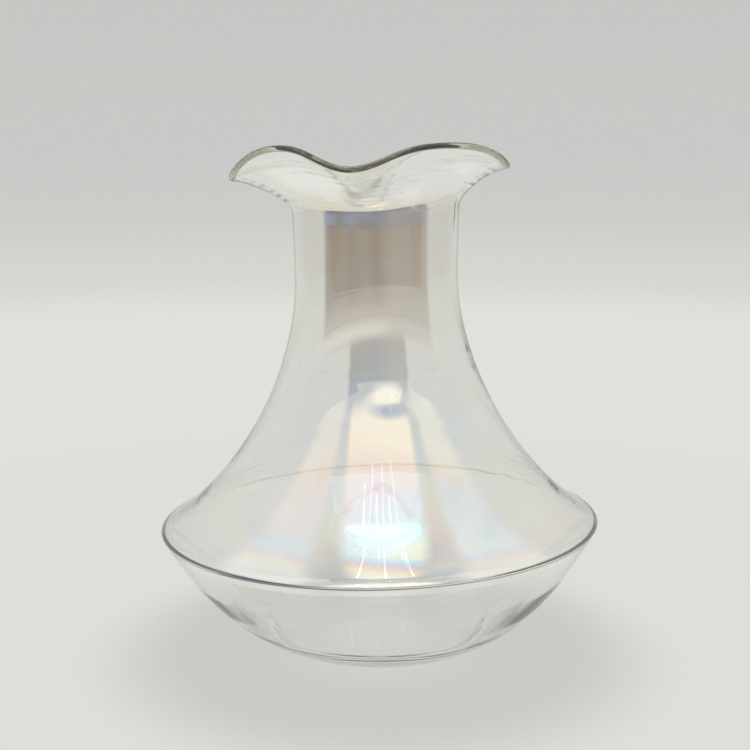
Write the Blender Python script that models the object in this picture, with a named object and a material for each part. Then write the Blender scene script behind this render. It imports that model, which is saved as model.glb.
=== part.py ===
"""Hand blown art glass vase: a thin clear vessel with a sharp keel, a slim neck and a ruffled collar.

Metres, +Z up. The origin is the middle of the flat base, on the axis of the keel. The front faces -Y.
The glass is kept as the masses it was made in, each one a closed solid: base, bowl, keel, shoulder,
neck, collar and lip bead. Neighbours keep a small gap at the joint.
"""
import math

import bmesh
import bpy

# Driving dimensions, outside of the glass
KEEL_RADIUS = 0.0888
KEEL_HEIGHT = 0.0480
FOOT_RADIUS = 0.0423
BOWL_BELLY = (0.0681, 0.0094)          # radius and height that the bowl's curve is pulled towards
KEEL_SHOULDER = (0.0884, 0.0492)       # the same for the fold that turns in over the keel
SHOULDER_START = (0.0855, 0.0502)      # where the cone leaves the keel
SHOULDER_SLOPE = math.radians(31)      # the cone's slope there, from the horizontal
SHOULDER_PULL = 0.0264                 # how far that slope is felt
WAIST_RADIUS = 0.0324
WAIST_HEIGHT = 0.1480
WAIST_PULL = 0.0420                    # how far below the waist the wall is already upright
NECK_UPRIGHT = 0.0150                  # the same above the waist
CREASE_RADIUS = 0.0331                 # top of the neck, where the collar bends outwards
CREASE_HEIGHT = 0.1750
LIP_HEIGHT = 0.1915                    # where the collar's wall ends, averaged round the rim
LIP_RADIUS = 0.0523

# Wall thicknesses
BASE_WALL = 0.0042
BOWL_WALL = 0.0026
KEEL_WALL = 0.0030
KEEL_HOLLOW = (0.0834, 0.0462)         # radius and height of the inside corner behind the keel
SHOULDER_WALL = 0.0024
NECK_WALL = 0.0018
COLLAR_WALL = 0.0016
BEAD_RADIUS = 0.0013

# Flat inside floor, and the ground hollow under the base
FLOOR_RADIUS = 0.0300
FLOOR_CORNER_RADIUS = 0.0440
PONTIL_RADIUS = 0.0140
PONTIL_DEPTH = 0.0010

# Ruffle of the lip: four lobes, uneven as a hand-tooled rim is
LOBES = 4
LOBE_RISE = 0.0041                     # half the height from a dip to a crest
LOBE_FLATNESS = 0.15                   # broadens the crests and narrows the dips
LOBE_PULL = 0.0018                     # a dip stands this much further out than the mean
SIDE_DIP_LIFT = 0.0008                 # side dips stand above the front and back dips
FRONT_LIFT = 0.0044                    # the front of the rim stands above the back
LEFT_CREST_LIFT = 0.0006
LOBE_SQUEEZE = 0.100                   # radians, pulls the crests towards front and back
DIP_TURN = 0.15                        # radians, turns the front dip to the left

# Hand-made lean: rings sink on the -X side, and the top drifts towards -X
LEVEL_HEIGHT = 0.0040                  # the base is level up to here
KEEL_TILT = math.radians(1.40)
NECK_TILT = math.radians(2.6)
CREASE_DRIFT = -0.0014
LIP_DRIFT = -0.0041

# Where one mass of glass ends and the next begins, as a share of the curve that it sits on
BASE_END = 0.12
BOWL_END = 0.90
KEEL_END = 0.04
SHOULDER_END = 0.70
COLLAR_END = 0.97
JOINT_GAP = 0.0003

SIDES = 48
BEAD_SIDES = 10
FULL_TURN = 2 * math.pi


def bezier(points, t):
    """Point at t on the Bezier curve with the given control points."""
    while len(points) > 1:
        points = [
            tuple((1 - t) * a + t * b for a, b in zip(p, q))
            for p, q in zip(points, points[1:])
        ]
    return points[0]


def ahead(point, angle, length):
    """The point this far along a line that leaves the given point at this angle."""
    return (point[0] + length * math.cos(angle), point[1] + length * math.sin(angle))


def offset(curve, t, depth):
    """Point at t on the curve, moved into the glass at right angles to the outer surface."""
    step = 0.001
    before = bezier(curve, t - step)
    after = bezier(curve, t + step)
    along_r = after[0] - before[0]
    along_z = after[1] - before[1]
    length = math.hypot(along_r, along_z)
    here = bezier(curve, t)
    return (here[0] - depth * along_z / length, here[1] + depth * along_r / length)


def spread(start, end, count):
    """Evenly spaced values from start to end, both included."""
    return [start + (end - start) * i / (count - 1) for i in range(count)]


def ease(value, start=0, end=1):
    """0 below start, 1 above end, smooth between."""
    share = min(max((value - start) / (end - start), 0), 1)
    return share * share * (3 - 2 * share)


def blend(first, second, share):
    """From the first value to the second, smoothly, as share goes from 0 to 1."""
    return first + (second - first) * ease(share)


# Outer outlines as control points (radius, height), each running upwards
BOWL_CURVE = [(FOOT_RADIUS, 0), BOWL_BELLY, (KEEL_RADIUS, KEEL_HEIGHT)]
KEEL_CURVE = [(KEEL_RADIUS, KEEL_HEIGHT), KEEL_SHOULDER, SHOULDER_START]
SHOULDER_CURVE = [
    SHOULDER_START,
    ahead(SHOULDER_START, math.pi - SHOULDER_SLOPE, SHOULDER_PULL),
    (WAIST_RADIUS, WAIST_HEIGHT - WAIST_PULL),
    (WAIST_RADIUS, WAIST_HEIGHT),
]
NECK_CURVE = [
    (WAIST_RADIUS, WAIST_HEIGHT),
    (WAIST_RADIUS, WAIST_HEIGHT + NECK_UPRIGHT),
    (CREASE_RADIUS, CREASE_HEIGHT),
]

# Share of the way from crease to lip that the collar has gone outwards and upwards
FLARE_CURVE = [(0, 0), (0, 0.20), (0.42, 0.78), (1, 1)]


def lip_point(azimuth):
    """Radius and height of the lip; azimuth 0 is the front, and a quarter turn is +X."""
    turned = azimuth + LOBE_SQUEEZE * math.sin(2 * azimuth) + DIP_TURN * math.cos(azimuth) ** 2
    wave = math.cos(LOBES * turned)
    height = LIP_HEIGHT - LOBE_RISE * (wave + LOBE_FLATNESS * math.cos(2 * LOBES * turned))
    height -= SIDE_DIP_LIFT * math.cos(2 * azimuth)
    height += FRONT_LIFT * math.cos(azimuth)
    height -= LEFT_CREST_LIFT * (math.sin(azimuth) + math.sin(3 * azimuth))
    return (LIP_RADIUS + LOBE_PULL * wave, height)


def collar_curve(azimuth):
    """Outer outline of the collar at this azimuth, from the crease to the lip."""
    lip_radius, lip_height = lip_point(azimuth)
    return [
        (
            CREASE_RADIUS + share_out * (lip_radius - CREASE_RADIUS),
            CREASE_HEIGHT + share_up * (lip_height - CREASE_HEIGHT),
        )
        for share_out, share_up in FLARE_CURVE
    ]


def settle(x, y, z):
    """The hand-made lean: the base stays flat, the keel tilts a little and the neck a little more."""
    tilt = KEEL_TILT * ease(z, LEVEL_HEIGHT, KEEL_HEIGHT)
    tilt += (NECK_TILT - KEEL_TILT) * ease(z, KEEL_HEIGHT, CREASE_HEIGHT)
    drift = CREASE_DRIFT * ease(z, KEEL_HEIGHT, CREASE_HEIGHT)
    drift += (LIP_DRIFT - CREASE_DRIFT) * ease(z, CREASE_HEIGHT, LIP_HEIGHT)
    return (x + drift, y, z + x * math.tan(tilt))


def glass(name, colour):
    """Clear glass with a pastel tint, one for each sub-part."""
    material = bpy.data.materials.new(name + "_glass")
    material.use_nodes = True
    shader = material.node_tree.nodes["Principled BSDF"]
    shader.inputs["Base Color"].default_value = (*colour, 1)
    shader.inputs["Roughness"].default_value = 0.04
    shader.inputs["Metallic"].default_value = 0
    shader.inputs["Transmission Weight"].default_value = 0.9
    shader.inputs["IOR"].default_value = 1.5
    return material


def add_object(name, bm, colour):
    """Turns the upright, even shape into a leaning, smooth-shaded object with its own glass."""
    for vert in bm.verts:
        vert.co = settle(*vert.co)
    bmesh.ops.recalc_face_normals(bm, faces=bm.faces)
    mesh = bpy.data.meshes.new(name)
    bm.to_mesh(mesh)
    bm.free()
    mesh.shade_smooth()
    mesh.set_sharp_from_angle(angle=math.radians(40))
    mesh.materials.append(glass(name, colour))
    bpy.context.collection.objects.link(bpy.data.objects.new(name, mesh))


def nudge(end, neighbour):
    """Moves an end point half a joint gap back towards its neighbour."""
    share = JOINT_GAP / 2 / math.dist(end, neighbour)
    return tuple(a + share * (b - a) for a, b in zip(end, neighbour))


def closed_section(outer, inner):
    """Closed section of a wall from its two faces, both running upwards, short of the joints."""
    for face in (outer, inner):
        face[0] = nudge(face[0], face[1])
        face[-1] = nudge(face[-1], face[-2])
    return outer + inner[::-1]


def wall_section(stops):
    """Closed section of a wall through the stops, each a curve, a place on it and a thickness."""
    outer = [bezier(curve, t) for curve, t, wall in stops]
    inner = [offset(curve, t, wall) for curve, t, wall in stops]
    return closed_section(outer, inner)


def ring_body(name, section_at, colour):
    """A closed ring: the closed section at each azimuth is joined to the next one round."""
    bm = bmesh.new()
    loops = []
    for side in range(SIDES):
        azimuth = side * FULL_TURN / SIDES
        loops.append([
            bm.verts.new((radius * math.sin(azimuth), -radius * math.cos(azimuth), height))
            for radius, height in section_at(azimuth)
        ])
    for loop, following in zip(loops, loops[1:] + loops[:1]):
        for i in range(len(loop)):
            bm.faces.new((loop[i - 1], loop[i], following[i], following[i - 1]))
    add_object(name, bm, colour)


def base_disc():
    """Thick flat bottom: ground hollow, resting ring, the start of the bowl, and the inside floor."""
    outline = [(0, PONTIL_DEPTH)]
    for t in spread(0.25, 1, 4):
        outline.append((PONTIL_RADIUS * t, PONTIL_DEPTH * (1 - t * t)))
    outline.append((FOOT_RADIUS, 0))
    outline.append(bezier(BOWL_CURVE, BASE_END / 2))
    outline.append(nudge(bezier(BOWL_CURVE, BASE_END), outline[-1]))

    bowl_inside = offset(BOWL_CURVE, BASE_END, BOWL_WALL)
    floor_curve = [bowl_inside, (FLOOR_CORNER_RADIUS, BASE_WALL), (FLOOR_RADIUS, BASE_WALL)]
    floor = [bezier(floor_curve, t) for t in spread(0, 1, 5)]
    floor[0] = nudge(floor[0], floor[1])
    outline += floor
    outline.append((0, BASE_WALL))

    bm = bmesh.new()
    verts = [bm.verts.new((radius, 0, height)) for radius, height in outline]
    edges = [bm.edges.new(pair) for pair in zip(verts, verts[1:])]
    bmesh.ops.spin(
        bm, geom=verts + edges, cent=(0, 0, 0), axis=(0, 0, 1), angle=FULL_TURN, steps=SIDES,
        use_merge=True,
    )
    bmesh.ops.remove_doubles(bm, verts=bm.verts, dist=0.000001)
    add_object("base_disc", bm, (0.86, 0.88, 0.84))


def lower_bowl():
    """Curved wall from the base out to the keel, thicker towards the keel."""
    stops = [(BOWL_CURVE, t, blend(BOWL_WALL, KEEL_WALL, t)) for t in spread(BASE_END, BOWL_END, 7)]
    section = wall_section(stops)
    ring_body("lower_bowl", lambda azimuth: section, (0.90, 0.91, 0.88))


def keel_band():
    """Folded belt: the end of the bowl, the sharp keel and the start of the cone."""
    outer = [bezier(BOWL_CURVE, t) for t in spread(BOWL_END, 0.985, 3)]
    outer += [bezier(KEEL_CURVE, t) for t in (0.06, 0.35, 0.65, 0.97)]
    outer.append(bezier(SHOULDER_CURVE, KEEL_END))
    inner = [
        offset(BOWL_CURVE, BOWL_END, KEEL_WALL),
        KEEL_HOLLOW,
        offset(SHOULDER_CURVE, KEEL_END, KEEL_WALL),
    ]
    section = closed_section(outer, inner)
    ring_body("keel_band", lambda azimuth: section, (0.84, 0.82, 0.88))


def shoulder_cone():
    """Wide conical wall, thinning as it climbs to the neck."""
    thinning = 4                       # the keel's thickness is gone a quarter of the way up
    stops = [
        (SHOULDER_CURVE, t, blend(KEEL_WALL, SHOULDER_WALL, thinning * t))
        for t in spread(KEEL_END, SHOULDER_END, 10)
    ]
    section = wall_section(stops)
    ring_body("shoulder_cone", lambda azimuth: section, (0.90, 0.86, 0.90))


def neck_tube():
    """Slim tube, waisted, from the tooling ring above the cone to the crease under the collar."""
    stops = []
    for t in spread(SHOULDER_END, 1, 5):
        share = (t - SHOULDER_END) / (1 - SHOULDER_END)
        stops.append((SHOULDER_CURVE, t, blend(SHOULDER_WALL, NECK_WALL, share)))
    stops += [(NECK_CURVE, t, NECK_WALL) for t in spread(0.33, 1, 3)]
    section = wall_section(stops)
    ring_body("neck_tube", lambda azimuth: section, (0.86, 0.86, 0.84))


def ruffled_collar():
    """Thin flared wall whose height and width follow the wavy lip."""

    def section_at(azimuth):
        curve = collar_curve(azimuth)
        return wall_section([(curve, t, COLLAR_WALL) for t in spread(0, COLLAR_END, 8)])

    ring_body("ruffled_collar", section_at, (0.92, 0.92, 0.88))


def lip_bead():
    """Round bead along the wavy rim, just past the end of the collar."""

    def section_at(azimuth):
        curve = collar_curve(azimuth)
        outer = bezier(curve, COLLAR_END)
        inner = offset(curve, COLLAR_END, COLLAR_WALL)
        middle = tuple((a + b) / 2 for a, b in zip(outer, inner))
        outwards = math.atan2(outer[0] - inner[0], inner[1] - outer[1])
        centre = ahead(middle, outwards, BEAD_RADIUS + JOINT_GAP)
        return [ahead(centre, -i * FULL_TURN / BEAD_SIDES, BEAD_RADIUS) for i in range(BEAD_SIDES)]

    ring_body("lip_bead", section_at, (0.80, 0.80, 0.74))


def build():
    for obj in list(bpy.data.objects):
        bpy.data.objects.remove(obj)
    base_disc()
    lower_bowl()
    keel_band()
    shoulder_cone()
    neck_tube()
    ruffled_collar()
    lip_bead()


build()
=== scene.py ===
"""Studio picture of a hand blown vase: clear glass with a faint mother-of-pearl lustre.

The vase is one fused vessel. It is drawn here as seven closed pieces, one for each CAD node, cut
from one continuous wall, so that every piece carries its own finish and the joints don't show.
Metres, +Z up, the front of the vase towards -Y.
"""

import math

import bpy
import numpy as np
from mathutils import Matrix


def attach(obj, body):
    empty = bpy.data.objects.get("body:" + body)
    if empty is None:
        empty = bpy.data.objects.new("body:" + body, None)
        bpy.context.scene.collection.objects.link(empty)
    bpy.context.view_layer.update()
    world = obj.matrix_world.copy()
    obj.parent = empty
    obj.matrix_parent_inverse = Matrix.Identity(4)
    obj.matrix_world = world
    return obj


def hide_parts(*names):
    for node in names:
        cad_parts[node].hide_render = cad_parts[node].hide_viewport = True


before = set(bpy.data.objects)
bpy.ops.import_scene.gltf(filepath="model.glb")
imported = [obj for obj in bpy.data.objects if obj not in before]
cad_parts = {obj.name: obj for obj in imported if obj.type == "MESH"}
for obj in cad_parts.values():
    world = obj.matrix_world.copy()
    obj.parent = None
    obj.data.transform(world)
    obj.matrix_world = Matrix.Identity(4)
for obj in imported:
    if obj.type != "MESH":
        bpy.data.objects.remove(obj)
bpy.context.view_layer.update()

# ---------------------------------------------------------------- sizes of the vessel
KEEL_RADIUS = 0.0888
KEEL_HEIGHT = 0.0480
FOOT_RADIUS = 0.0423
BOWL_BELLY = (0.0681, 0.0094)
KEEL_SHOULDER = (0.0884, 0.0492)
SHOULDER_START = (0.0855, 0.0502)
SHOULDER_SLOPE = math.radians(31)
SHOULDER_PULL = 0.0264
WAIST_RADIUS = 0.0324
WAIST_HEIGHT = 0.1480
WAIST_PULL = 0.0420
NECK_UPRIGHT = 0.0150
CREASE_RADIUS = 0.0331
CREASE_HEIGHT = 0.1750
LIP_RADIUS = 0.0523
LIP_HEIGHT = 0.1915
BEAD_RADIUS = 0.0012

# Wall thickness against height, thick at the foot and the folded keel, thin at the lip
WALL_SECTION = (
    (0.000, 0.0030), (0.006, 0.0022), (0.012, 0.0013), (0.030, 0.0011), (0.044, 0.0013),
    (0.047, 0.0021), (0.054, 0.0020), (0.064, 0.0016), (0.084, 0.0015), (0.200, 0.0014),
)
WALL_CORNER = 0.0030
FLOOR_HEIGHT = 0.0036
FLOOR_RADIUS = 0.0240
FLOOR_CORNER = (0.0400, 0.0060)
PONTIL_RADIUS = 0.0140
PONTIL_DEPTH = 0.0010

# The four lobes of the lip
LOBES = 4
LOBE_RISE = 0.0041
LOBE_FLATNESS = 0.15
LOBE_PULL = 0.0018
SIDE_DIP_LIFT = 0.0008
FRONT_LIFT = 0.0044
LEFT_CREST_LIFT = 0.0006
LOBE_SQUEEZE = 0.100
DIP_TURN = 0.15

# How far the soft glass leaned and drifted before it set
LEVEL_HEIGHT = 0.0040
KEEL_TILT = math.radians(1.40)
NECK_TILT = math.radians(2.60)
CREASE_DRIFT = -0.0014
LIP_DRIFT = -0.0041

# Where the pieces meet, as shares of the curves above
BASE_END = 0.12
BOWL_END = 0.90
KEEL_END = 0.04
SHOULDER_END = 0.70

# How finely the wall is drawn: rings along the outline, columns round the vase
AZIMUTHS = 240
SOFTNESS = 0.00035
FINE_STEP = 0.0001
CURVE_POINTS = 400
FLAT_POINTS = 60
FOOT_MARGIN = 0.0020
RUN_RINGS = {"flat": 8, "base": 12, "bowl": 46, "keel": 40, "shoulder": 120, "neck": 90}
COLLAR_RINGS = 44
BEAD_RINGS = 22
PONTIL_RINGS = 8


def bezier(points, t):
    """Points of a Bezier curve at the shares t, one row each."""
    rows = [np.outer(np.ones_like(t), p) for p in points]
    while len(rows) > 1:
        rows = [(1 - t)[:, None] * a + t[:, None] * b for a, b in zip(rows, rows[1:])]
    return rows[0]


def ahead(point, angle, distance):
    """The point a distance away in the direction of the angle."""
    return (point[0] + distance * math.cos(angle), point[1] + distance * math.sin(angle))


BOWL_CURVE = [(FOOT_RADIUS, 0.0), BOWL_BELLY, (KEEL_RADIUS, KEEL_HEIGHT)]
KEEL_CURVE = [(KEEL_RADIUS, KEEL_HEIGHT), KEEL_SHOULDER, SHOULDER_START]
SHOULDER_CURVE = [
    SHOULDER_START,
    ahead(SHOULDER_START, math.pi - SHOULDER_SLOPE, SHOULDER_PULL),
    (WAIST_RADIUS, WAIST_HEIGHT - WAIST_PULL),
    (WAIST_RADIUS, WAIST_HEIGHT),
]
NECK_CURVE = [
    (WAIST_RADIUS, WAIST_HEIGHT),
    (WAIST_RADIUS, WAIST_HEIGHT + NECK_UPRIGHT),
    (CREASE_RADIUS, CREASE_HEIGHT),
]
# Share of the way out and up from the crease to the lip
FLARE_CURVE = [(0.0, 0.0), (0.0, 0.20), (0.42, 0.78), (1.0, 1.0)]
COLLAR_SHARE = 0.97


def ease(value, start, end):
    """0 before the start, 1 past the end, smooth between."""
    x = np.clip((value - start) / (end - start), 0.0, 1.0)
    return x * x * (3 - 2 * x)


def lip_point(azimuth):
    """Radius and height of the lip: four lobes, pressed a little out of round."""
    turned = azimuth + LOBE_SQUEEZE * np.sin(2 * azimuth) + DIP_TURN * np.cos(azimuth) ** 2
    wave = np.cos(LOBES * turned)
    height = LIP_HEIGHT - LOBE_RISE * (wave + LOBE_FLATNESS * np.cos(2 * LOBES * turned))
    height = height - SIDE_DIP_LIFT * np.cos(2 * azimuth) + FRONT_LIFT * np.cos(azimuth)
    height = height - LEFT_CREST_LIFT * (np.sin(azimuth) + np.sin(3 * azimuth))
    return LIP_RADIUS + LOBE_PULL * wave, height


def settle(points):
    """The lean and drift of the set glass."""
    x, z = points[..., 0], points[..., 2]
    tilt = KEEL_TILT * ease(z, LEVEL_HEIGHT, KEEL_HEIGHT)
    tilt = tilt + (NECK_TILT - KEEL_TILT) * ease(z, KEEL_HEIGHT, CREASE_HEIGHT)
    drift = CREASE_DRIFT * ease(z, KEEL_HEIGHT, CREASE_HEIGHT)
    drift = drift + (LIP_DRIFT - CREASE_DRIFT) * ease(z, CREASE_HEIGHT, LIP_HEIGHT)
    moved = points.copy()
    moved[..., 0] = x + drift
    moved[..., 2] = z + x * np.tan(tilt)
    return moved


# ---------------------------------------------------------------- the outline, from foot to crease
def lengths_along(line):
    """Length along the line at each of its points."""
    steps = np.linalg.norm(np.diff(line, axis=0), axis=1)
    return np.concatenate([[0.0], np.cumsum(steps)])


def softened(line, softness):
    """Even fine lengths along the outline, and its points there with the corners melted."""
    along = lengths_along(line)
    even = np.arange(0.0, along[-1], FINE_STEP)
    fine = np.stack([np.interp(even, along, line[:, k]) for k in (0, 1)], 1)
    reach = int(4 * softness / FINE_STEP)
    kernel = np.exp(-0.5 * (np.arange(-reach, reach + 1) * FINE_STEP / softness) ** 2)
    kernel /= kernel.sum()
    start, end = fine[0], fine[-1]
    before = 2 * start - fine[reach:0:-1]
    after = 2 * end - fine[-2:-reach - 2:-1]
    padded = np.concatenate([before, fine, after])
    soft = np.stack([np.convolve(padded[:, k], kernel, "valid") for k in (0, 1)], 1)
    return even, soft


def outline_marks():
    """The outline from the pontil rim to the crease, and the lengths along it where pieces meet."""
    share = np.linspace(0, 1, CURVE_POINTS)
    flat_radii = np.linspace(PONTIL_RADIUS, FOOT_RADIUS, FLAT_POINTS)
    flat = np.stack([flat_radii, np.zeros(FLAT_POINTS)], 1)
    bowl = bezier(BOWL_CURVE, share)
    keel = bezier(KEEL_CURVE, share[::8])
    shoulder = bezier(SHOULDER_CURVE, share)
    neck = bezier(NECK_CURVE, share[::4])
    runs = [flat, bowl[1:], keel[1:], shoulder[1:], neck[1:]]
    ends = np.cumsum([len(r) for r in runs]) - 1
    line = np.concatenate(runs)
    along = lengths_along(line)

    def at(run, part):
        first = 0 if run == 0 else ends[run - 1]
        return float(np.interp(first + part * (ends[run] - first), np.arange(len(along)), along))

    marks = {
        "foot": at(1, 0.0),
        "base": at(1, BASE_END),
        "bowl": at(1, BOWL_END),
        "keel": at(3, KEEL_END),
        "shoulder": at(3, SHOULDER_END),
        "crease": at(4, 1.0),
    }
    return line, marks


def stations(marks):
    """Lengths along the outline where rings are laid, and the ring where each piece ends."""
    places = [0.0, marks["foot"] - FOOT_MARGIN]
    places += [marks[name] for name in ("base", "bowl", "keel", "shoulder", "crease")]
    laid = [0.0]
    for start, end, count in zip(places, places[1:], RUN_RINGS.values()):
        laid += list(np.linspace(start, end, count + 1)[1:])
    return np.array(laid), dict(zip(RUN_RINGS, np.cumsum(list(RUN_RINGS.values()))))


# ---------------------------------------------------------------- marks left by tools and breath
def waves(rng, along, around, count, along_waves, around_turns, tallest):
    """A smooth irregular surface: a sum of slow waves along and around the vase."""
    total = np.zeros(np.broadcast(along, around).shape)
    for _ in range(count):
        pitch = rng.uniform(*along_waves)
        turns = rng.integers(around_turns[0], around_turns[1] + 1)
        phase, lean = rng.uniform(0, 2 * math.pi, 2)
        total += np.cos(2 * math.pi * pitch * along + phase) * np.cos(turns * around + lean)
    return tallest * total / math.sqrt(count)


def bump(height, centre, width):
    """A smooth hill in height, 1 at its centre."""
    return np.exp(-0.5 * ((height - centre) / width) ** 2)


# A small swelling left in the front wall where the neck was drawn out
KNOT_RADIUS = 0.0400
KNOT_WIDTH = 0.0042
KNOT_HEIGHT = 0.1040
KNOT_TURN = 0.10
KNOT_TALL = 0.0030
KNOT_RISE = 0.00040
# Rings turned by the tool as the neck was necked in: height, width and rise (a groove if below 0)
TOOL_RINGS = ((0.1165, 0.0014, 0.00007), (0.1130, 0.0015, -0.00005), (0.0945, 0.0012, 0.00006))
RING_UNEVENNESS = 0.5
RING_TURN = 0.8
# How tall the irregular marks of each kind are
BREATH_SWELL = 0.00010
COLLAR_TOOLING = 0.000030
CONE_TURNING = 0.000010
NECK_DRAWING = 0.000045
WALL_UNEVENNESS = 0.00012
HAND_RIPPLE = 0.000016


def outside_marks(along, around, height):
    """How far the outer face stands proud of the plain outline."""
    rng = np.random.default_rng(11)
    swell = waves(rng, along, around, 8, (4, 22), (1, 4), BREATH_SWELL)
    swell = swell * ease(height, 0.004, 0.030)
    rings = sum(rise * bump(height, middle, width) for middle, width, rise in TOOL_RINGS)
    rings = rings * (1 + RING_UNEVENNESS * np.cos(around - RING_TURN))
    rng = np.random.default_rng(12)
    tooled = waves(rng, along, around, 9, (180, 420), (0, 4), COLLAR_TOOLING)
    tooled = tooled * ease(height, CREASE_HEIGHT - 0.003, CREASE_HEIGHT + 0.006)
    turned = waves(rng, along, around, 6, (90, 240), (0, 3), CONE_TURNING)
    turned = turned * bump(height, 0.060, 0.010)
    aside = KNOT_RADIUS * np.sin(around - KNOT_TURN) / KNOT_WIDTH
    at_front = np.cos(around) > 0
    knot = np.exp(-0.5 * aside**2) * at_front * bump(height, KNOT_HEIGHT, KNOT_TALL)
    return swell + rings + tooled + turned + KNOT_RISE * knot


def inside_marks(along, around, height):
    """How much thicker the wall is than its even size."""
    rng = np.random.default_rng(21)
    drawn = waves(rng, along, around, 12, (0, 6), (14, 46), NECK_DRAWING)
    drawn = drawn * bump(height, 0.150, 0.026)
    uneven = waves(rng, along, around, 8, (3, 18), (1, 5), WALL_UNEVENNESS)
    rng = np.random.default_rng(22)
    rippled = waves(rng, along, around, 9, (120, 330), (1, 7), HAND_RIPPLE)
    rippled = rippled * (ease(height, 0.172, 0.182) + 0.7 * bump(height, 0.058, 0.009))
    return drawn + uneven * ease(height, 0.004, 0.02) + rippled


# ---------------------------------------------------------------- the continuous wall
def normals_of(line):
    """Outward unit normals of outlines, radius and height in the last axis."""
    step = np.gradient(line, axis=-2)
    step /= np.linalg.norm(step, axis=-1, keepdims=True)
    return np.stack([step[..., 1], -step[..., 0]], -1)


def swept(radius_height, azimuth):
    """Points in space of outlines in radius and height, one for each azimuth."""
    radius, height = radius_height[..., 0], radius_height[..., 1]
    x = radius * np.sin(azimuth)[:, None]
    y = -radius * np.cos(azimuth)[:, None]
    return settle(np.stack([x, y, height], -1))


def vessel():
    """Outer and inner rings of the whole wall, (azimuth, ring, xyz), and where the pieces end."""
    line, marks = outline_marks()
    even, soft = softened(line, SOFTNESS)
    facing_in = normals_of(softened(line, WALL_CORNER)[1])
    laid, ends = stations(marks)
    azimuth = np.arange(AZIMUTHS) * 2 * math.pi / AZIMUTHS
    common = np.stack([np.interp(laid, even, soft[:, k]) for k in (0, 1)], 1)
    common[: ends["flat"] + 1, 1] = 0.0
    lip_radius, lip_height = lip_point(azimuth)
    flare = bezier(FLARE_CURVE, np.linspace(0, COLLAR_SHARE, COLLAR_RINGS + 1)[1:])
    crease = common[-1]
    radii = crease[0] + flare[None, :, 0] * (lip_radius - crease[0])[:, None]
    heights = crease[1] + flare[None, :, 1] * (lip_height - crease[1])[:, None]
    collar = np.stack([radii, heights], -1)
    plain = np.concatenate([np.broadcast_to(common, (AZIMUTHS, *common.shape)), collar], 1)
    ends["collar"] = ends["neck"] + COLLAR_RINGS

    facing = normals_of(plain)
    wall_facing = facing.copy()
    common_facing = [np.interp(laid, even, facing_in[:, k]) for k in (0, 1)]
    wall_facing[:, : len(laid)] = np.stack(common_facing, 1)
    wall_facing /= np.linalg.norm(wall_facing, axis=-1, keepdims=True)
    height = plain[..., 1]
    steps = np.linalg.norm(np.diff(plain, axis=1), axis=2)
    along = np.concatenate([np.zeros((AZIMUTHS, 1)), np.cumsum(steps, 1)], 1)
    around = azimuth[:, None]
    outer = plain + facing * outside_marks(along, around, height)[..., None]
    wall = np.interp(height, *zip(*WALL_SECTION)) + inside_marks(along, around, height)
    inner = plain - wall_facing * wall[..., None]

    # The thick floor: from the middle out to the start of the bowl wall
    wall_start = ends["base"]
    reach = np.linspace(0, 1, wall_start + 1)
    floor = [(0.0, FLOOR_HEIGHT), (FLOOR_RADIUS, FLOOR_HEIGHT), FLOOR_CORNER]
    for column in inner:
        column[: wall_start + 1] = bezier([*floor, tuple(column[wall_start])], reach)
    return outer, inner, azimuth, ends


BEAD_REACH = math.radians(142)


def lip_bead(outer, inner):
    """The fire-polished bead: a round roll that joins the two faces of the collar."""
    out_end, in_end = outer[:, -1], inner[:, -1]
    across = out_end - in_end
    across /= np.linalg.norm(across, axis=1, keepdims=True)
    onward = outer[:, -1] - outer[:, -2]
    onward -= across * np.sum(onward * across, 1, keepdims=True)
    onward /= np.linalg.norm(onward, axis=1, keepdims=True)
    middle = (out_end + in_end) / 2 + onward * BEAD_RADIUS
    turns = np.linspace(-BEAD_REACH, BEAD_REACH, BEAD_RINGS)
    rings = [middle + BEAD_RADIUS * (math.cos(t) * onward - math.sin(t) * across) for t in turns]
    return np.stack(rings, 1)


def pontil(azimuth):
    """The shallow ground hollow under the foot, from its rim in to the middle."""
    radii = np.linspace(PONTIL_RADIUS, 0, PONTIL_RINGS + 1)[1:]
    heights = PONTIL_DEPTH * (1 - (radii / PONTIL_RADIUS) ** 2)
    line = np.stack([radii, heights], 1)
    return swept(np.broadcast_to(line, (len(azimuth), *line.shape)), azimuth)


# ---------------------------------------------------------------- pieces cut from the wall
OUTSIDE, INSIDE, JOINT = 0, 1, 2


def strip_faces(columns, azimuths):
    """Quads between neighbouring columns of a ring grid laid out azimuth by azimuth."""
    index = np.arange(azimuths * columns).reshape(azimuths, columns)
    beside = np.roll(index, -1, 0)
    return np.stack([index[:, :-1], beside[:, :-1], beside[:, 1:], index[:, 1:]], -1)


def grid_normals(grid):
    """Smooth unit normals of a grid closed around its first axis."""
    around = np.roll(grid, -1, 0) - np.roll(grid, 1, 0)
    onward = np.gradient(grid, axis=1)
    normal = np.cross(around, onward)
    size = np.linalg.norm(normal, axis=2, keepdims=True)
    return normal / np.maximum(size, 1e-12)


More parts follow.
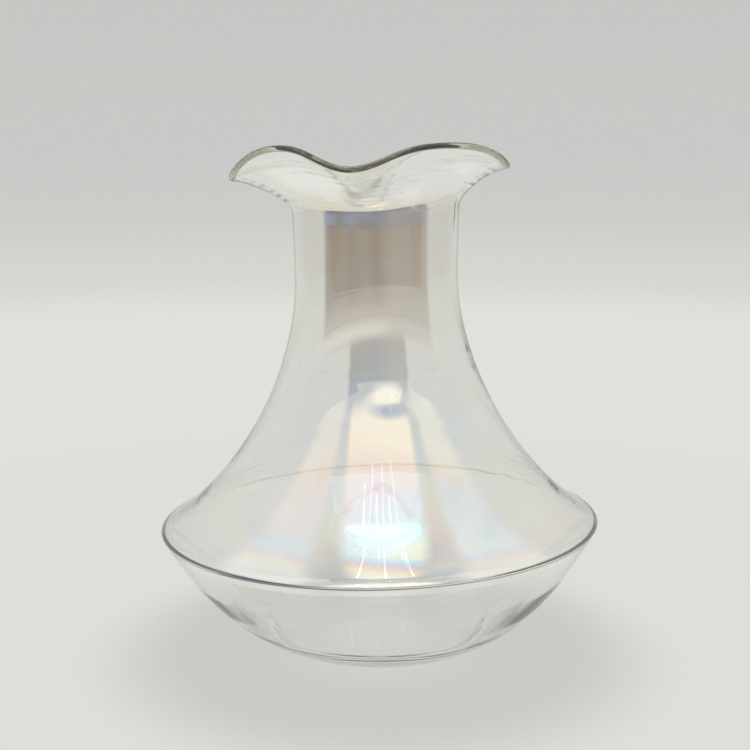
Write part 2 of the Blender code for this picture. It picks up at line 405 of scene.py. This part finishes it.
def closed_piece(name, grid, normals, kinds):
    """A ring of wall closed into a tube: its columns run round the cross section.

    The kinds give each column's face, or None where the section touches the axis and has none.
    """
    count, columns = grid.shape[:2]
    index = np.arange(count * columns).reshape(count, columns)
    beside, onward = np.roll(index, -1, 0), np.roll(index, -1, 1)
    diagonal = np.roll(beside, -1, 1)
    quads = np.stack([index, beside, diagonal, onward], -1)
    mesh = bpy.data.meshes.new(name)
    keep = [c for c in range(columns) if kinds[c] is not None]
    faces = quads[:, keep].reshape(-1, 4)
    mesh.from_pydata(grid.reshape(-1, 3).tolist(), [], faces.tolist())
    slots = np.tile([kinds[c] for c in keep], count)
    mesh.polygons.foreach_set("material_index", slots.astype(np.int32))
    mesh.shade_smooth()
    mesh.update()
    corner_normals = normals.reshape(-1, 3)[faces.reshape(-1)].reshape(-1, 4, 3)
    flat = np.zeros((len(faces), 3))
    mesh.polygons.foreach_get("normal", flat.reshape(-1))
    joint_faces = slots == JOINT
    corner_normals[joint_faces] = flat[joint_faces][:, None, :]
    mesh.normals_split_custom_set(corner_normals.reshape(-1, 3).tolist())
    return mesh


# ---------------------------------------------------------------- materials
def new_glass(name, ior, transmission, roughness):
    """A glass material with its node tree, its shader and places on the vase."""
    material = bpy.data.materials.new(name)
    material.use_nodes = True
    tree = material.node_tree
    shader = tree.nodes["Principled BSDF"]
    shader.inputs["IOR"].default_value = ior
    shader.inputs["Transmission Weight"].default_value = transmission
    shader.inputs["Roughness"].default_value = roughness
    place = tree.nodes.new("ShaderNodeTexCoord").outputs["Object"]
    return material, tree, shader, place


def new_surface(name, shader_kind):
    """An empty material with one shader of a kind, joined to its output by the caller."""
    material = bpy.data.materials.new(name)
    material.use_nodes = True
    tree = material.node_tree
    tree.nodes.clear()
    return material, tree, tree.nodes.new(shader_kind), tree.nodes.new("ShaderNodeOutputMaterial")


def axes_of(tree, place):
    """The x, y and z of a place."""
    axes = tree.nodes.new("ShaderNodeSeparateXYZ")
    tree.links.new(place, axes.inputs[0])
    return axes.outputs


def math_node(tree, operation, a, b=None, c=None):
    """The result of a sum; a, b and c are sockets or numbers."""
    node = tree.nodes.new("ShaderNodeMath")
    node.operation = operation
    for socket, value in zip(node.inputs, (a, b, c)):
        if value is None:
            continue
        if isinstance(value, (int, float)):
            socket.default_value = value
        else:
            tree.links.new(value, socket)
    return node.outputs[0]


def distance_node(tree, x, y):
    """Distance from the vase's axis."""
    squares = [math_node(tree, "MULTIPLY", side, side) for side in (x, y)]
    return math_node(tree, "SQRT", math_node(tree, "ADD", *squares))


def noise_node(tree, place, scale, detail=2.0, stretch=(1, 1, 1), distortion=0.0):
    """A cloudy pattern, stretched along the axes with a small stretch."""
    mapping = tree.nodes.new("ShaderNodeMapping")
    mapping.inputs["Scale"].default_value = stretch
    tree.links.new(place, mapping.inputs["Vector"])
    noise = tree.nodes.new("ShaderNodeTexNoise")
    noise.inputs["Scale"].default_value = scale
    noise.inputs["Detail"].default_value = detail
    noise.inputs["Distortion"].default_value = distortion
    tree.links.new(mapping.outputs[0], noise.inputs["Vector"])
    return noise.outputs["Fac"]


def ramp_node(tree, value, stops, kind="EASE"):
    """The colour at a value between stops, each a place and a colour."""
    ramp = tree.nodes.new("ShaderNodeValToRGB")
    ramp.color_ramp.interpolation = kind
    while len(ramp.color_ramp.elements) < len(stops):
        ramp.color_ramp.elements.new(0.5)
    for element, (place, colour) in zip(ramp.color_ramp.elements, stops):
        element.position = place
        element.color = (*colour, 1.0)
    tree.links.new(value, ramp.inputs["Fac"])
    return ramp.outputs["Color"]


def map_node(tree, value, low, high, to_low, to_high, kind="LINEAR"):
    """The value's way from low to high as a number from to_low to to_high."""
    node = tree.nodes.new("ShaderNodeMapRange")
    node.interpolation_type = kind
    names = ("From Min", "From Max", "To Min", "To Max")
    for name, number in zip(names, (low, high, to_low, to_high)):
        node.inputs[name].default_value = number
    tree.links.new(value, node.inputs["Value"])
    return node.outputs["Result"]


def mix_colours(tree, share, a, b):
    """Colour a at share 0, colour b at share 1; each is a socket or a plain colour."""
    node = tree.nodes.new("ShaderNodeMix")
    node.data_type = "RGBA"
    tree.links.new(share, node.inputs["Factor"])
    first, second = [s for s in node.inputs if s.type == "RGBA"]
    for socket, value in ((first, a), (second, b)):
        if isinstance(value, tuple):
            socket.default_value = (*value, 1)
        else:
            tree.links.new(value, socket)
    return [s for s in node.outputs if s.type == "RGBA"][0]


def scale_colour(tree, colour, factor):
    """The colour times a grey factor."""
    node = tree.nodes.new("ShaderNodeVectorMath")
    node.operation = "SCALE"
    tree.links.new(colour, node.inputs[0])
    tree.links.new(factor, node.inputs["Scale"])
    return node.outputs[0]


# Painted shade in the glass's colour: how dark a wall seen edge on gets, and the share of it that the
# thinner bowl gets
EDGE_DARKNESS = 0.84
BOWL_EDGE_SHARE = 0.25


def edge_shade(tree, height):
    """1 face on, darker where the wall turns edge on and its curve bends the light away."""
    weight = tree.nodes.new("ShaderNodeLayerWeight")
    dark = map_node(tree, weight.outputs["Facing"], 0.72, 0.92, 0.0, EDGE_DARKNESS, "SMOOTHSTEP")
    above_bowl = map_node(tree, height, 0.030, KEEL_HEIGHT + 0.002, BOWL_EDGE_SHARE, 1)
    return math_node(tree, "SUBTRACT", 1.0, math_node(tree, "MULTIPLY", dark, above_bowl))


GLASS_IOR = 1.5
LIP_IOR = 1.45
LIP_CLEARNESS = 0.86
LIP_ROUGHNESS = 0.04
# Tints of the light that the glass lets through, and where they lie in its clouds
CLEAR_TINT = (0.996, 0.996, 0.993)
SMOKE_TINT = (0.938, 0.915, 0.882)
PASTELS = (
    (0.34, (0.985, 0.945, 0.985)),
    (0.45, (0.945, 0.980, 0.985)),
    (0.55, (0.985, 0.988, 0.935)),
    (0.66, (0.990, 0.955, 0.945)),
)
LIP_TINTS = ((0.35, (0.56, 0.54, 0.43)), (0.65, (0.68, 0.66, 0.55)))
INNER_TINTS = ((0.35, (0.985, 0.990, 0.980)), (0.65, (0.992, 0.988, 0.985)))

FILM_IOR = 2.45
NECK_FILM_IOR = 2.7
COLLAR_FILM_GAIN = 0.5
FILM_LIMIT = 400.0
FILM_DRIFT = 0.18
STREAK_DEPTH = 0.5
PROFILE_TOP = 0.2
# Depth of the lustre in nanometres against height: thin and smoky at the neck, pastel below
FILM_PROFILE = (
    (0.000, 24), (0.044, 26), (0.0505, 60), (0.056, 150), (0.061, 126), (0.072, 119), (0.080, 99),
    (0.088, 88), (0.100, 79), (0.116, 50), (0.130, 41), (0.168, 39), (0.1705, 70), (0.178, 70),
    (0.183, 46), (0.196, 44),
)


def film_depth(tree, place, height):
    """Depth of the lustre over the vase, with the drift of a coat laid on by hand."""
    share = map_node(tree, height, 0.0, PROFILE_TOP, 0, 1)
    stops = [(z / PROFILE_TOP, (depth / FILM_LIMIT,) * 3) for z, depth in FILM_PROFILE]
    profile = ramp_node(tree, share, stops, "LINEAR")
    clouds = noise_node(tree, place, 17.0, 1.5, distortion=0.6)
    thin, thick = FILM_LIMIT * (1 - FILM_DRIFT), FILM_LIMIT * (1 + FILM_DRIFT)
    drift = map_node(tree, clouds, 0.3, 0.7, thin, thick)
    streaks = noise_node(tree, place, 210.0, 1.5, stretch=(1, 1, 0.05), distortion=0.3)
    streaks = math_node(tree, "SUBTRACT", streaks, 0.5)
    above = map_node(tree, height, 0.100, 0.125, 0, STREAK_DEPTH)
    below = map_node(tree, height, 0.181, 0.172, 0, 1)
    deep = math_node(tree, "MULTIPLY", above, below)
    drift = math_node(tree, "MULTIPLY", drift, math_node(tree, "MULTIPLY_ADD", streaks, deep, 1.0))
    return math_node(tree, "MULTIPLY", profile, drift)


def lustre_glass(name):
    """Clear glass with a vapour-laid lustre on it: pastel on the cone, smoky up the neck."""
    material, tree, shader, place = new_glass(name, GLASS_IOR, 1.0, 0.0)
    height = axes_of(tree, place)[2]
    dense = map_node(tree, height, 0.100, 0.118, FILM_IOR, NECK_FILM_IOR)
    denser = map_node(tree, height, 0.177, 0.183, 0, COLLAR_FILM_GAIN)
    tree.links.new(math_node(tree, "ADD", dense, denser), shader.inputs["Thin Film IOR"])
    depth = film_depth(tree, place, height)
    tree.links.new(depth, shader.inputs["Thin Film Thickness"])
    pastel = ramp_node(tree, noise_node(tree, place, 13.0, 1.0, distortion=0.6), PASTELS)
    above_keel = map_node(tree, height, 0.049, 0.056, 0, 1)
    below_neck = map_node(tree, height, 0.130, 0.095, 0.15, 1)
    share = math_node(tree, "MULTIPLY", above_keel, below_neck)
    smoky = map_node(tree, height, 0.100, 0.135, 0, 1, "SMOOTHSTEP")
    smoky = math_node(tree, "MULTIPLY", smoky, map_node(tree, height, 0.184, 0.176, 0, 1))
    colour = mix_colours(tree, share, mix_colours(tree, smoky, CLEAR_TINT, SMOKE_TINT), pastel)
    # Painted shade: the tint is darkened where the wall turns edge on
    shaded = scale_colour(tree, colour, edge_shade(tree, height))
    tree.links.new(shaded, shader.inputs["Base Color"])
    return material


def lip_glass(name):
    """The rolled lip: thicker, olive where one looks along the bead, a little cloudy from the fire."""
    material, tree, shader, place = new_glass(name, LIP_IOR, LIP_CLEARNESS, LIP_ROUGHNESS)
    cloud = noise_node(tree, place, 60.0, 2.0, distortion=0.5)
    colour = ramp_node(tree, cloud, LIP_TINTS)
    tree.links.new(colour, shader.inputs["Base Color"])
    return material


def plain_glass(name):
    """The uncoated inner face."""
    material, tree, shader, place = new_glass(name, GLASS_IOR, 1.0, 0.0)
    colour = ramp_node(tree, noise_node(tree, place, 14.0, 2.0), INNER_TINTS)
    tree.links.new(colour, shader.inputs["Base Color"])
    return material


def fused_joint():
    """Inside the glass, where two gathers are fused, there is nothing to see."""
    material, tree, clear, output = new_surface("fused_joint", "ShaderNodeBsdfTransparent")
    tree.links.new(clear.outputs[0], output.inputs["Surface"])
    return material


# ---------------------------------------------------------------- building the vase
SLOTS = {
    "base_disc": "base_glass",
    "lower_bowl": "bowl_glass",
    "keel_band": "keel_glass",
    "shoulder_cone": "shoulder_glass",
    "neck_tube": "neck_glass",
    "ruffled_collar": "collar_glass",
    "lip_bead": "lip_glass",
}


def add_piece(node, mesh, joint):
    """The piece that takes a CAD node's place, in its own glass."""
    slot = SLOTS[node]
    outside = lip_glass if node == "lip_bead" else lustre_glass
    mesh.materials.append(outside(slot + "_lustre"))
    inside = lustre_glass if node == "ruffled_collar" else plain_glass
    mesh.materials.append(inside(slot + "_inner"))
    mesh.materials.append(joint)
    piece = bpy.data.objects.new(node + "_glass", mesh)
    bpy.context.collection.objects.link(piece)
    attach(piece, "root")
    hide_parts(node)
    return piece


def round_trip(outer, inner, start, end):
    """Rings of the outer face from start to end, then those of the inner face back."""
    ring = slice(start, end + 1)
    return np.concatenate([outer[:, ring], inner[:, ring][:, ::-1]], 1)


def with_pontil(grid, normals, kinds, azimuth, flat_rings):
    """The base disc closed below by its ground hollow, its flat rim facing straight down."""
    hollow = pontil(azimuth)[:, ::-1]
    down = np.broadcast_to((0.0, 0.0, -1.0), hollow.shape)
    grid = np.concatenate([hollow, grid], 1)
    normals = np.concatenate([down, normals], 1)
    normals[:, PONTIL_RINGS : PONTIL_RINGS + flat_rings] = (0, 0, -1)
    normals[:, -1] = (0, 0, 1)
    return grid, normals, [OUTSIDE] * PONTIL_RINGS + kinds[:-1] + [None]


def build_vase():
    """All seven pieces, cut from the wall one after another from the base to the lip."""
    outer, inner, azimuth, ends = vessel()
    bead = lip_bead(outer, inner)
    outer_grid, inner_grid = swept(outer, azimuth), swept(inner, azimuth)
    bead_grid = swept(bead, azimuth)
    whole = np.concatenate([outer_grid, bead_grid, inner_grid[:, ::-1]], 1)
    facing = grid_normals(whole)
    rings, rolled = outer_grid.shape[1], bead_grid.shape[1]
    outer_facing = facing[:, :rings]
    inner_facing = facing[:, rings + rolled :][:, ::-1]
    joint = fused_joint()

    cuts = [0, *(ends[run] for run in ("base", "bowl", "keel", "shoulder", "neck", "collar"))]
    for node, start, end in zip(SLOTS, cuts, cuts[1:]):
        grid = round_trip(outer_grid, inner_grid, start, end)
        normals = round_trip(outer_facing, inner_facing, start, end)
        kinds = [OUTSIDE] * (end - start) + [JOINT] + [INSIDE] * (end - start) + [JOINT]
        if node == "base_disc":
            grid, normals, kinds = with_pontil(grid, normals, kinds, azimuth, ends["flat"])
        add_piece(node, closed_piece(node, grid, normals, kinds), joint)

    grid = np.concatenate([outer_grid[:, -1:], bead_grid, inner_grid[:, -1:]], 1)
    bead_facing = facing[:, rings : rings + rolled]
    normals = np.concatenate([outer_facing[:, -1:], bead_facing, inner_facing[:, -1:]], 1)
    kinds = [OUTSIDE] * (rolled + 1) + [JOINT]
    add_piece("lip_bead", closed_piece("lip_bead", grid, normals, kinds), joint)


# ---------------------------------------------------------------- studio
FLOOR_GAP = 0.0004
FLAT_REACH = 0.90
SWEEP_RADIUS = 0.60
WALL_TOP = 1.0
STAGE_AZIMUTHS = 96


def stage_line():
    """Radius and height of the paper: flat, then swept up into a wall."""
    flat = np.linspace(0, FLAT_REACH, 24)
    turn = np.linspace(0, math.pi / 2, 22)[1:]
    wall = np.linspace(SWEEP_RADIUS, WALL_TOP, 10)[1:]
    wall_radii = np.full(len(wall), FLAT_REACH + SWEEP_RADIUS)
    radii = [*flat, *(FLAT_REACH + SWEEP_RADIUS * np.sin(turn)), *wall_radii]
    heights = [*(0 * flat), *(SWEEP_RADIUS * (1 - np.cos(turn))), *wall]
    return np.stack([radii, heights], 1)


def build_stage():
    """The paper all round the vase, a hair below its foot."""
    line = stage_line()
    azimuth = np.arange(STAGE_AZIMUTHS) * 2 * math.pi / STAGE_AZIMUTHS
    x = line[None, 1:, 0] * np.sin(azimuth)[:, None]
    y = -line[None, 1:, 0] * np.cos(azimuth)[:, None]
    z = np.broadcast_to(line[None, 1:, 1], x.shape)
    grid = np.stack([x, y, z - FLOOR_GAP], -1)
    columns = grid.shape[1]
    faces = strip_faces(columns, len(azimuth))[..., ::-1].reshape(-1, 4).tolist()
    points = [*grid.reshape(-1, 3).tolist(), (0, 0, -FLOOR_GAP)]
    middle = len(points) - 1
    count = len(azimuth)
    faces += [(middle, k * columns, ((k + 1) % count) * columns) for k in range(count)]
    mesh = bpy.data.meshes.new("studio_sweep")
    mesh.from_pydata(points, [], faces)
    mesh.shade_smooth()
    mesh.materials.append(sweep_paper())
    sweep = bpy.data.objects.new("studio_sweep", mesh)
    bpy.context.collection.objects.link(sweep)


def mirrored_only(tree, value):
    """The value for paths that have met a mirror-like face, 0 for all others."""
    path = tree.nodes.new("ShaderNodeLightPath")
    mirrored = math_node(tree, "GREATER_THAN", path.outputs["Glossy Depth"], 0.5)
    return math_node(tree, "MULTIPLY", value, mirrored)


def turn_from_front(tree, x, y):
    """Angle round the vase from the front, 0 to pi."""
    back = math_node(tree, "MULTIPLY", y, -1.0)
    return math_node(tree, "ABSOLUTE", math_node(tree, "ARCTAN2", x, back))


def opening_share(tree, turn, rise):
    """1 towards the dark opening at the front of the light tent; rise is height over distance."""
    wide = map_node(tree, turn, math.radians(77), math.radians(71), 0, 1)
    tall = map_node(tree, rise, 0.38, 0.31, 0, 1)
    narrow = map_node(tree, turn, math.radians(38), math.radians(34), 0, 1)
    taller = map_node(tree, rise, 0.74, 0.66, 0, 1)
    low = math_node(tree, "MULTIPLY", wide, tall)
    high = math_node(tree, "MULTIPLY", narrow, taller)
    return mirrored_only(tree, math_node(tree, "MAXIMUM", low, high))


# The dark room beyond the opening: floor, table with a pale edge, far wall
ROOM_SHADES = (
    (0.00, (0.014, 0.006, 0.002)),
    (0.12, (0.050, 0.034, 0.024)),
    (0.30, (0.300, 0.255, 0.210)),
    (0.46, (0.680, 0.630, 0.560)),
    (0.60, (0.120, 0.110, 0.115)),
    (0.80, (0.060, 0.056, 0.060)),
)
# Its lit right side, the tent's side walls and the two kinds of roof light
ROOM_SIDE = (0.300, 0.255, 0.215)
SIDE_WALL = (0.61, 0.61, 0.58)
COLUMN_GLOW = (1.34, 1.28, 1.14)
LAMP_GLOW = (0.97, 0.96, 0.93)
ROOF_SPLAY = 0.45


def tent_colour(tree, shade, x, y, z, distance):
    """The tent as its walls glow, with its sides and dark front opening as mirrored in the glass."""
    turn = turn_from_front(tree, x, y)
    rise = math_node(tree, "DIVIDE", z, distance)
    aside = math_node(tree, "DIVIDE", x, distance)
    lit_side = map_node(tree, aside, -0.05, 0.45, 0, 0.6, "SMOOTHSTEP")
    room = mix_colours(tree, lit_side, ramp_node(tree, z, ROOM_SHADES), ROOM_SIDE)
    side = map_node(tree, turn, math.radians(150), math.radians(105), 0, 1, "SMOOTHSTEP")
    side = math_node(tree, "MULTIPLY", side, map_node(tree, rise, 0.9, 0.5, 0, 1))
    walls = mix_colours(tree, mirrored_only(tree, side), shade, SIDE_WALL)
    return mix_colours(tree, opening_share(tree, turn, rise), walls, room)


# The paper: how far the table reaches, the painted shadow on it, and its painted shade against height
TABLE_REACH = 0.42
SHADOW_SHIFT = 0.020
SHADOW_DEPTH = 0.19
SHADOW_CORE = 0.5
PAPER_COLOUR = (0.94, 0.94, 0.89, 1)
PAPER_GLOW_SHARE = 0.94
PAPER_SHADES = (
    (0.000, (0.745, 0.753, 0.701)),
    (0.030, (0.665, 0.672, 0.631)),
    (0.090, (0.602, 0.608, 0.584)),
    (0.150, (0.584, 0.589, 0.570)),
    (0.300, (0.578, 0.568, 0.554)),
    (1.000, (0.620, 0.620, 0.620)),
)
PAPER_SHADE_TOP = 1.2
# The tent above it, against the steepness of the look
SKY_SHADES = (
    (0.00, (0.62, 0.62, 0.61)),
    (0.50, (0.62, 0.62, 0.61)),
    (0.80, (0.50, 0.50, 0.50)),
    (1.00, (0.42, 0.42, 0.43)),
)


def soft_shadow(tree, x, y):
    """The wide soft shadow of the vase, laid on the paper since a glow takes no cast shadow."""
    away = distance_node(tree, x, math_node(tree, "ADD", y, SHADOW_SHIFT))
    outer = map_node(tree, away, 0.074, 0.126, SHADOW_DEPTH, 0, "SMOOTHSTEP")
    inner = map_node(tree, away, 0.005, 0.055, SHADOW_CORE, 1, "SMOOTHSTEP")
    return math_node(tree, "SUBTRACT", 1.0, math_node(tree, "MULTIPLY", outer, inner))


def sweep_paper():
    """Pale paper: mostly its own glow, painted lighter on the floor and darker up the wall, with a
    painted shadow under the vase; partly what falls on it.
    """
    material, tree, blend, output = new_surface("studio_paper", "ShaderNodeMixShader")
    geometry = tree.nodes.new("ShaderNodeNewGeometry")
    x, y, z = axes_of(tree, geometry.outputs["Position"])
    reach = distance_node(tree, x, y)
    shade = ramp_node(tree, map_node(tree, z, 0.0, PAPER_SHADE_TOP, 0, 1), PAPER_SHADES)
    mirrored = tent_colour(tree, shade, x, y, z, reach)
    beyond = map_node(tree, reach, TABLE_REACH, TABLE_REACH + 0.02, 0, 1)
    colour = mix_colours(tree, beyond, shade, mirrored)
    colour = scale_colour(tree, colour, soft_shadow(tree, x, y))
    glow = tree.nodes.new("ShaderNodeEmission")
    tree.links.new(colour, glow.inputs["Color"])
    paper = tree.nodes.new("ShaderNodeBsdfDiffuse")
    paper.inputs["Color"].default_value = PAPER_COLOUR
    share = map_node(tree, reach, 0.30, TABLE_REACH, PAPER_GLOW_SHARE, 1, "SMOOTHSTEP")
    tree.links.new(share, blend.inputs[0])
    tree.links.new(paper.outputs[0], blend.inputs[1])
    tree.links.new(glow.outputs[0], blend.inputs[2])
    tree.links.new(blend.outputs[0], output.inputs["Surface"])
    return material


def soft_area(tree, edges):
    """1 inside all the edges, 0 outside; an edge is a value and where it goes from 0 to 1."""
    shares = [map_node(tree, value, low, high, 0, 1, "SMOOTHSTEP") for value, low, high in edges]
    inside = shares[0]
    for share in shares[1:]:
        inside = math_node(tree, "MULTIPLY", inside, share)
    return inside


def ceiling_lights(tree, colour, x, y, z):
    """The tent roof as mirrored in the glass: a pale column down the middle, a soft lamp each side.

    Places on the roof are slopes: x and y over height. Both shapes widen towards the front.
    """
    up = math_node(tree, "MAXIMUM", z, 0.05)
    back = math_node(tree, "DIVIDE", y, up)
    across = math_node(tree, "DIVIDE", math_node(tree, "ABSOLUTE", x), up)
    across = math_node(tree, "MULTIPLY_ADD", back, ROOF_SPLAY, across)
    lamp_edges = ((across, 0.36, 0.52), (across, 1.30, 0.95), (back, 1.15, 0.80), (back, -1.50, -0.90))
    lamp = soft_area(tree, lamp_edges)
    colour = mix_colours(tree, mirrored_only(tree, lamp), colour, LAMP_GLOW)
    column = soft_area(tree, ((across, 0.27, 0.14), (back, 0.50, 0.25)))
    column = math_node(tree, "MULTIPLY", column, map_node(tree, z, 0.54, 0.62, 0, 1))
    return mix_colours(tree, mirrored_only(tree, column), colour, COLUMN_GLOW)


def build_world():
    """The tent above the paper: even low down, dimmer overhead."""
    world = bpy.data.worlds.new("tent")
    bpy.context.scene.world = world
    world.use_nodes = True
    tree = world.node_tree
    x, y, z = axes_of(tree, tree.nodes.new("ShaderNodeTexCoord").outputs["Generated"])
    flat = distance_node(tree, x, y)
    shade = ramp_node(tree, z, SKY_SHADES)
    colour = ceiling_lights(tree, tent_colour(tree, shade, x, y, z, flat), x, y, z)
    tree.links.new(colour, tree.nodes["Background"].inputs["Color"])


# Camera and lamps; a strip's place is its y and z
CAMERA_PLACE = (-0.0017, -0.54, 0.2046)
CAMERA_DROP = math.radians(10.19)
CAMERA_LENS = 65.2
SENSOR_WIDTH = 36.0
STRIP_PITCH = 0.12
STRIP_SIZE = (0.005, 0.80)
STRIP_PLACE = (-0.35, 0.98)
STRIP_RADIANCE = 5.0
OVAL_SIZE = (0.58, 0.15)
OVAL_PLACE = (0.0, -0.35, 1.00)
OVAL_RADIANCE = 0.8


def add_panel(name, shape, place, size, radiance):
    """A glowing panel overhead, facing down, as strong as a rectangle of its size and radiance."""
    lamp = bpy.data.lights.new(name, "AREA")
    lamp.shape = shape
    lamp.size, lamp.size_y = size
    lamp.energy = radiance * math.pi * size[0] * size[1]
    panel = bpy.data.objects.new(name, lamp)
    panel.location = place
    bpy.context.collection.objects.link(panel)


def build_lights():
    """Three thin strips and an oval over the front of the vase."""
    for side in (-1, 0, 1):
        place = (side * STRIP_PITCH, *STRIP_PLACE)
        add_panel("led_strip", "RECTANGLE", place, STRIP_SIZE, STRIP_RADIANCE)
    add_panel("oval_lamp", "ELLIPSE", OVAL_PLACE, OVAL_SIZE, OVAL_RADIANCE)


def build_camera():
    """The camera in front of the vase and above it, looking a little down."""
    data = bpy.data.cameras.new("camera")
    data.sensor_width = SENSOR_WIDTH
    data.lens = CAMERA_LENS
    camera = bpy.data.objects.new("camera", data)
    camera.location = CAMERA_PLACE
    camera.rotation_euler = (math.pi / 2 - CAMERA_DROP, 0, 0)
    bpy.context.collection.objects.link(camera)
    bpy.context.scene.camera = camera


def set_look():
    """Plain colours, and enough bounces for light to cross every wall of the vase."""
    scene = bpy.context.scene
    scene.view_settings.view_transform = "Standard"
    scene.cycles.max_bounces = 32
    scene.cycles.transmission_bounces = 32
    scene.cycles.glossy_bounces = 16
    scene.cycles.transparent_max_bounces = 48
    scene.cycles.use_denoising = True


build_vase()
build_stage()
build_world()
build_lights()
build_camera()
set_look()
